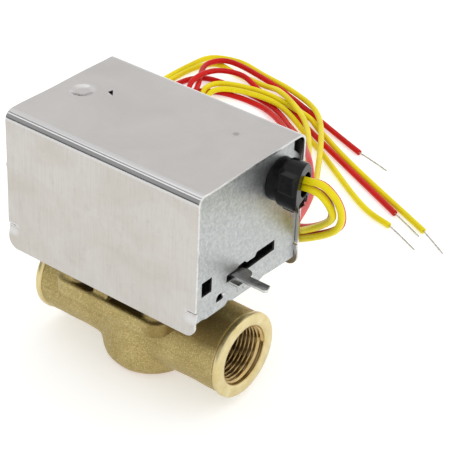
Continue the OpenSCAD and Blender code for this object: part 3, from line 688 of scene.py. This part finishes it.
def sheet_offset(x, y, z, on_top, half, bottom, top):
    """How far the sheet stands off its flat, in millimetres: slow waves, the dimple and the slits' lips."""
    if on_top:
        edge = ease(half - abs(y), BEND_R, BEND_R + 9)
        wave = 0.10 * math.sin(x / 14 + 0.4) * math.cos(y / 11) + 0.05 * math.sin(x / 6.5 + y / 8)
        ring = math.hypot(x - DIMPLE[0], y - DIMPLE[1])
        return wave * edge - 0.55 * (1 - ease(ring, DIMPLE_R - 1.6, DIMPLE_R + 0.4))
    if abs(y) < half:
        return 0.0
    edge = ease(z - bottom, 0, 6) * ease(top - z, BEND_R, BEND_R + 10)
    wave = 0.12 * math.sin(x / 16 + 1.1) * math.sin(z / 12) + 0.05 * math.sin(x / 7 - z / 9)
    lip = ease(abs(x), 42.5, 46) * ease(z, SLIT_Z - 5, SLIT_Z - 0.4) * (z < SLIT_Z)
    return wave * edge - 0.7 * lip


def make_cover():
    low, high = (Vector(v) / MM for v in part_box("cover"))
    half, bottom, top, reach = high.y, low.z, high.z, high.x
    rows = cover_section(half, bottom, top)
    inner = reach - CORNER_R - 1.5
    middle = steps(-inner, inner, GRID)
    outer = steps(0, 1, 0.125)[1:]
    verts = []
    for y, z, ny, nz, on_top in rows:
        end = reach
        if z < bottom + CORNER_R:
            rise = bottom + CORNER_R - z
            end = reach - CORNER_R + math.sqrt(max(0.0, CORNER_R ** 2 - rise ** 2))
        if on_top:
            end += 0.12 * math.sin(y / 5.5) * ease(half - abs(y), BEND_R, BEND_R + 4)
        elif y < 0:
            end += 0.5 * math.exp(-((z - EAR_Z) / 0.9) ** 2)
        right = [inner + (end - inner) * t for t in outer]
        for x in [-v for v in reversed(right)] + list(middle) + right:
            off = sheet_offset(x, y, z, on_top, half, bottom, top)
            verts.append((x, y + ny * off, z + nz * off))
    wide = len(middle) + 2 * len(outer)
    faces = [(r * wide + c, r * wide + c + 1, (r + 1) * wide + c + 1, (r + 1) * wide + c)
             for r in range(len(rows) - 1) for c in range(wide - 1)]
    piece = mesh_piece("cover_shell", verts, faces)
    piece.data.materials.append(FINISHES["cover_sheet"])
    piece.data.materials.append(CUT_EDGE)
    mod = piece.modifiers.new("thickness", "SOLIDIFY")
    mod.thickness = SHEET * MM
    mod.offset = -1
    mod.use_even_offset = True
    mod.use_rim = True
    mod.material_offset_rim = 1
    apply_modifiers(piece)
    for sx in (-1, 1):
        for sy in (-1, 1):
            x = sorted((sx * (reach - 3.9), sx * (reach + 2)))
            y = sorted((sy * (half - 2.5), sy * (half + 2)))
            cut(piece, block((x[0], y[0], SLIT_Z), (x[1], y[1], SLIT_Z + 0.75)))
    corner = PUNCH_MARK
    mark = mesh_piece("cutter", [(*c, z) for z in (top - 2.5, top + 2) for c in corner],
                      [(0, 1, 2), (3, 5, 4), (0, 3, 4, 1), (1, 4, 5, 2), (2, 5, 3, 0)])
    outward(mark)
    cut(piece, mark)
    bevel(piece, 0.16, angle=55)
    tongue = block((-30.5, 3.6, top - 2.3), (-25.6, 9.0, top - 2.0))
    tongue.name = "mark_tongue"
    for point in tongue.data.vertices:
        point.co.z += (point.co.x + 0.0256) * 0.16
    finish_piece(tongue, "cover_sheet", "housing", material=CUT_EDGE)
    return finish_piece(piece, "cover_sheet", "housing", "cover", angle=40)


make_cover()


# ---------------------------------------------------------------- chassis and lever
# How far the lever's rest tab stands out of the end plate, in millimetres.
REST_TAB = 4.6
# A little more than the end plate's thickness, in millimetres.
PLATE_DEPTH = 1.3


def bright_edges(piece, is_cut):
    """Sheared faces, the ones that is_cut picks, get the bright edge metal."""
    piece.data.materials.append(CUT_EDGE)
    for face in piece.data.polygons:
        if is_cut(face):
            face.material_index = len(piece.data.materials) - 1


def make_chassis():
    piece = cad_copy("chassis", "chassis_sheet")
    bevel(piece, 0.14)
    piece.data.materials.clear()
    piece.data.materials.append(FINISHES["galvanised_sheet"])
    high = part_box("chassis")[1]
    plate = high.x - REST_TAB * MM - PLATE_DEPTH * MM
    bright_edges(piece, lambda face: abs(face.center.x) > plate and abs(face.normal.x) < 0.5)
    even_normals(piece)
    return finish_piece(piece, "galvanised_sheet", "housing", "chassis")


def make_lever():
    piece = cad_copy("manual_lever", "lever_strip")
    bevel(piece, 0.16)
    piece.data.materials.clear()
    piece.data.materials.append(FINISHES["lever_steel"])
    bright_edges(piece, lambda face: abs(face.normal.z) < 0.75)
    even_normals(piece)
    return finish_piece(piece, "lever_steel", "lever", "manual_lever")


def make_hole_details():
    """The bent strip seen through the square hole, and the lanced tip in the small one."""
    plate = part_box("chassis")[1].x / MM - REST_TAB
    strip = block((plate - 4.2, -29.5, 68.6), (plate - 3.2, -21.5, 69.5))
    strip.name = "inner_strip"
    for corner in strip.data.vertices:
        corner.co.z += (corner.co.y + 0.0255) * 0.35
    bevel(strip, 0.2)
    finish_piece(strip, "galvanised_sheet", "housing", material=CUT_EDGE)
    tip = block((plate - 1.1, -15.0, 60.2), (plate + 0.35, -13.6, 61.0))
    tip.name = "lanced_tip"
    for corner in tip.data.vertices:
        if corner.co.x > (plate - 0.5) * MM and corner.co.y < -14.3 * MM:
            corner.co.z -= 0.0005
    bevel(tip, 0.15)
    finish_piece(tip, "galvanised_sheet", "housing", material=CUT_EDGE)


make_chassis()
make_lever()
make_hole_details()


# ---------------------------------------------------------------- brass body
PORT_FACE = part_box("valve_body")[1].x / MM
AXIS_Z = frame["record"]["mounts"][0]["pos_m"][2] / MM
THREAD_R = 13.15
THREAD_DEPTH = 1.12
PITCH = 25.4 / 14
THREAD_IN = 15.9
COLLAR = 2.9
FLANGE_LOW = 36.0


def make_casting():
    """The forged body: the CAD shape with blended inner corners, a parting line and an uneven skin."""
    piece = cad_copy("valve_body", "body_casting")
    for side in (-1, 1):
        x = sorted((side * (PORT_FACE - COLLAR - 0.1), side * (PORT_FACE + 5)))
        cut(piece, block((x[0], -30, AXIS_Z - 30), (x[1], 30, AXIS_Z + 30)))
    voxels(piece, 0.55)
    mesh = piece.data
    points = points_of(mesh)
    x, y, z = points.T
    from_axis = np.hypot(y, z - AXIS_Z)
    from_middle = np.hypot(x, y)
    skin = np.where(np.abs(x) > 17, from_axis > 15.6, from_middle > 17.5)
    below_flange = np.clip((FLANGE_LOW - 0.5 - z) / 2.5, 0, 1)
    soft = below_flange * np.clip((PORT_FACE - COLLAR - 1 - np.abs(x)) / 2, 0, 1)
    weights = np.where(skin, soft, 0.0)
    weights = np.maximum(weights, np.where(skin & (z >= FLANGE_LOW - 2), 0.12, 0.0))
    weights[z < 0.4] = 0
    relax(mesh, weights, 45)
    points = points_of(mesh)
    normals = np.zeros(len(points) * 3)
    mesh.vertices.foreach_get("normal", normals)
    normals = normals.reshape(-1, 3)
    x, y, z = points.T
    slow = 0.10 * np.sin(x / 5.1 + 1.3) * np.sin(y / 4.3 + z / 6.1)
    uneven = slow + 0.07 * np.sin(x / 2.3 - z / 2.9 + 0.5)
    line = 0.32 * np.clip(1 - np.abs(z - AXIS_Z - 0.25 * np.sin(x / 9)) / 0.7, 0, 1)
    push = np.where(skin, soft * (uneven + line), 0.0)
    push[z < 1.0] = 0
    put_points(mesh, points + normals * push[:, None])
    piece.data.materials.clear()
    return finish_piece(piece, "forged_brass", "housing", "valve_body", angle=55)


def thread_radius(along, turn):
    """Radius of the thread's surface at this distance below the mouth and this share of a turn."""
    start = 0.7
    if along <= start:
        return THREAD_R + 0.5 * (start - along) / start
    phase = ((along - start) / PITCH - turn) % 1.0
    ridge = min(1.0, max(0.0, (0.42 - abs(phase - 0.5)) / 0.34))
    lead_in = min(1.0, max(0.0, ((along - start) / PITCH - turn + 0.45) / 1.3))
    run_out = min(1.0, max(0.0, (THREAD_IN - 0.4 - along) / 1.2))
    return THREAD_R - (along - start) / 32 - THREAD_DEPTH * ridge * lead_in * run_out


def make_port(side, name):
    """A turned collar and the cut thread inside it, as one closed ring."""
    around = 144
    outside = [(THREAD_IN + 0.6, 14.5), (COLLAR + 0.35, 14.5), (COLLAR + 0.35, 17.7), (COLLAR + 0.1, 18.1),
               (COLLAR - 0.35, 18.62), (COLLAR - 0.75, 18.8), (0.9, 18.8), (0.5, 18.68), (0.15, 18.35),
               (0.0, 18.0), (0.0, 15.6), (0.0, 14.3), (0.12, 14.02)]
    inside = list(steps(0.3, THREAD_IN, PITCH / 12))
    verts = []
    for along, radius in outside:
        verts += [(along, radius, k / around) for k in range(around)]
    for along in inside:
        verts += [(along, thread_radius(along, k / around), k / around) for k in range(around)]
    placed = [(side * (PORT_FACE - a), r * math.cos(2 * math.pi * t),
               AXIS_Z + side * r * math.sin(2 * math.pi * t))
              for a, r, t in verts]
    rings = len(outside) + len(inside)
    faces = [(i * around + k, i * around + (k + 1) % around,
              (i + 1) % rings * around + (k + 1) % around, (i + 1) % rings * around + k)
             for i in range(rings) for k in range(around)]
    piece = mesh_piece(name, placed, faces)
    outward(piece)
    piece.data.materials.append(MACHINED)
    piece.data.materials.append(THREAD)
    for face in piece.data.polygons:
        centre = face.center / MM
        if math.hypot(centre.y, centre.z - AXIS_Z) < 13.45:
            face.material_index = 1
    return finish_piece(piece, "turned_brass", "housing", angle=38)


make_casting()
make_port(1, "port_collar_right")
make_port(-1, "port_collar_left")


# ---------------------------------------------------------------- strain relief
def make_moulding(node, name, size, rounds, slot, body):
    """A CAD node with its corners softened as a mould leaves them."""
    piece = cad_copy(node, name)
    voxels(piece, size)
    relax(piece.data, np.ones(len(piece.data.vertices)), rounds)
    piece.data.materials.clear()
    return finish_piece(piece, slot, body, node, angle=60)


make_moulding("strain_relief", "strain_relief_moulding", 0.28, 5, "black_nylon", "housing")
make_moulding("strain_relief_wedge", "strain_relief_wedge_moulding", 0.25, 4, "black_nylon", "housing")


# ---------------------------------------------------------------- stripped ends
STRAND_R = 0.16
STRAND_OUT = 0.27
TWIST = 9.0


def make_tip(key):
    """Six tinned strands wound around a seventh, from the end of the sleeve to the tip."""
    start = np.array(ROUTES[key][-1], float)
    stop = np.array(TIPS[key][0], float)
    along = stop - start
    length = np.linalg.norm(along)
    along /= length
    start = start - along * 1.0
    side = np.cross(along, (0, 0, 1.0))
    side /= np.linalg.norm(side)
    up = np.cross(side, along)
    verts, faces = [], []
    places = steps(0, length + 1.0, 0.7)
    for strand in range(7):
        first = len(verts)
        for s in places:
            bow = 0.5 * math.sin(math.pi * s / places[-1])
            turn = 2 * math.pi * (s / TWIST + strand / 6)
            off = 0.0 if strand == 6 else STRAND_OUT * (1 - 0.35 * ease(s, places[-1] - 3, places[-1]))
            middle = start + along * s + up * bow * 0.4 + off * (math.cos(turn) * side + math.sin(turn) * up)
            for k in range(6):
                a = math.pi * k / 3
                verts.append(middle + STRAND_R * (math.cos(a) * side + math.sin(a) * up))
        for i in range(len(places) - 1):
            for k in range(6):
                a, b = first + i * 6 + k, first + i * 6 + (k + 1) % 6
                faces.append((a, b, b + 6, a + 6))
        faces.append(tuple(first + k for k in range(5, -1, -1)))
        faces.append(tuple(len(verts) - 6 + k for k in range(6)))
    piece = mesh_piece("stripped_end_" + key, verts, faces)
    outward(piece)
    return finish_piece(piece, "tinned_copper", "housing", "tip_" + key, angle=60)


for key in ROUTES:
    make_tip(key)


# ---------------------------------------------------------------- floor and light
# Brightness of the surroundings to the left, by degrees from straight up towards the near side.
BANDS = [(0, 1.0), (10, 1.1), (16, 0.36), (24, 0.36), (29, 1.45), (37, 1.45),
         (42, 0.4), (60, 0.5), (76, 0.42), (82, 0.15), (96, 0.15), (103, 1.0)]
BAND_SPAN = 120
FLOOR_HALF = 3000


def make_floor():
    corners = [(sx * FLOOR_HALF, sy * FLOOR_HALF, 0) for sx, sy in ((-1, -1), (1, -1), (1, 1), (-1, 1))]
    floor = mesh_piece("floor", corners, [(0, 1, 2, 3)])
    p = Paint("floor", (0.72, 0.72, 0.715), roughness=0.6, Specular_IOR_Level=0.2,
              Emission_Color=(1.0, 1.0, 0.99, 1), Emission_Strength=0.44)
    p.bump(p.noise(0.8, detail=2), 0.02)
    floor.data.materials.append(p.material)
    floor.location.z = -0.00005


def make_world():
    """Even pale light from all round. To the left it is banded, low to high, as a studio's dark flags and a
    strip light would show in the cover's bends."""
    world = bpy.data.worlds.new("studio")
    world.use_nodes = True
    bpy.context.scene.world = world
    tree = world.node_tree
    back = tree.nodes["Background"]
    parts = tree.nodes.new("ShaderNodeSeparateXYZ")
    tree.links.new(tree.nodes.new("ShaderNodeTexCoord").outputs["Generated"], parts.inputs["Vector"])
    forward = tree.nodes.new("ShaderNodeMath")
    forward.operation = "MULTIPLY"
    forward.inputs[1].default_value = -1
    tree.links.new(parts.outputs["Y"], forward.inputs[0])
    tilt = tree.nodes.new("ShaderNodeMath")
    tilt.operation = "ARCTAN2"
    tree.links.new(forward.outputs["Value"], tilt.inputs[0])
    tree.links.new(parts.outputs["Z"], tilt.inputs[1])
    share = tree.nodes.new("ShaderNodeMapRange")
    share.inputs["From Min"].default_value = 0
    share.inputs["From Max"].default_value = math.radians(BAND_SPAN)
    tree.links.new(tilt.outputs["Value"], share.inputs["Value"])
    bands = tree.nodes.new("ShaderNodeValToRGB")
    tree.links.new(share.outputs["Result"], bands.inputs["Fac"])
    stops = bands.color_ramp.elements
    for degrees, _ in BANDS[2:]:
        stops.new(degrees / BAND_SPAN)
    for stop, (degrees, level) in zip(stops, sorted(BANDS)):
        stop.position = degrees / BAND_SPAN
        stop.color = (level, level, level, 1)
    left = tree.nodes.new("ShaderNodeMapRange")
    left.interpolation_type = "SMOOTHSTEP"
    left.inputs["From Min"].default_value = -0.2
    left.inputs["From Max"].default_value = -0.4
    tree.links.new(parts.outputs["X"], left.inputs["Value"])
    blend = tree.nodes.new("ShaderNodeMix")
    tree.links.new(left.outputs["Result"], blend.inputs["Factor"])
    blend.inputs["A"].default_value = 1.0
    tree.links.new(bands.outputs["Color"], blend.inputs["B"])
    tree.links.new(blend.outputs["Result"], back.inputs["Strength"])
    back.inputs["Color"].default_value = (1.0, 0.995, 0.985, 1)


def area_light(name, place, target, size, power, colour=(1, 1, 1)):
    data = bpy.data.lights.new(name, "AREA")
    data.shape = "SQUARE"
    data.size = size
    data.energy = power
    data.color = colour
    lamp = new_object(name, data)
    lamp.location = place
    lamp.rotation_euler = (Vector(target) - Vector(place)).to_track_quat("-Z", "Y").to_euler()


def make_light():
    make_world()
    area_light("key", (0.15, -0.1, 1.1), (0, 0, 0.05), 1.6, 2)
    area_light("side", (0.9, 0.6, 0.6), (0, 0, 0.05), 1.0, 1)
    bpy.context.scene.view_settings.view_transform = "Standard"


make_floor()
make_light()

# ---------------------------------------------------------------- view layer update
bpy.context.view_layer.update()
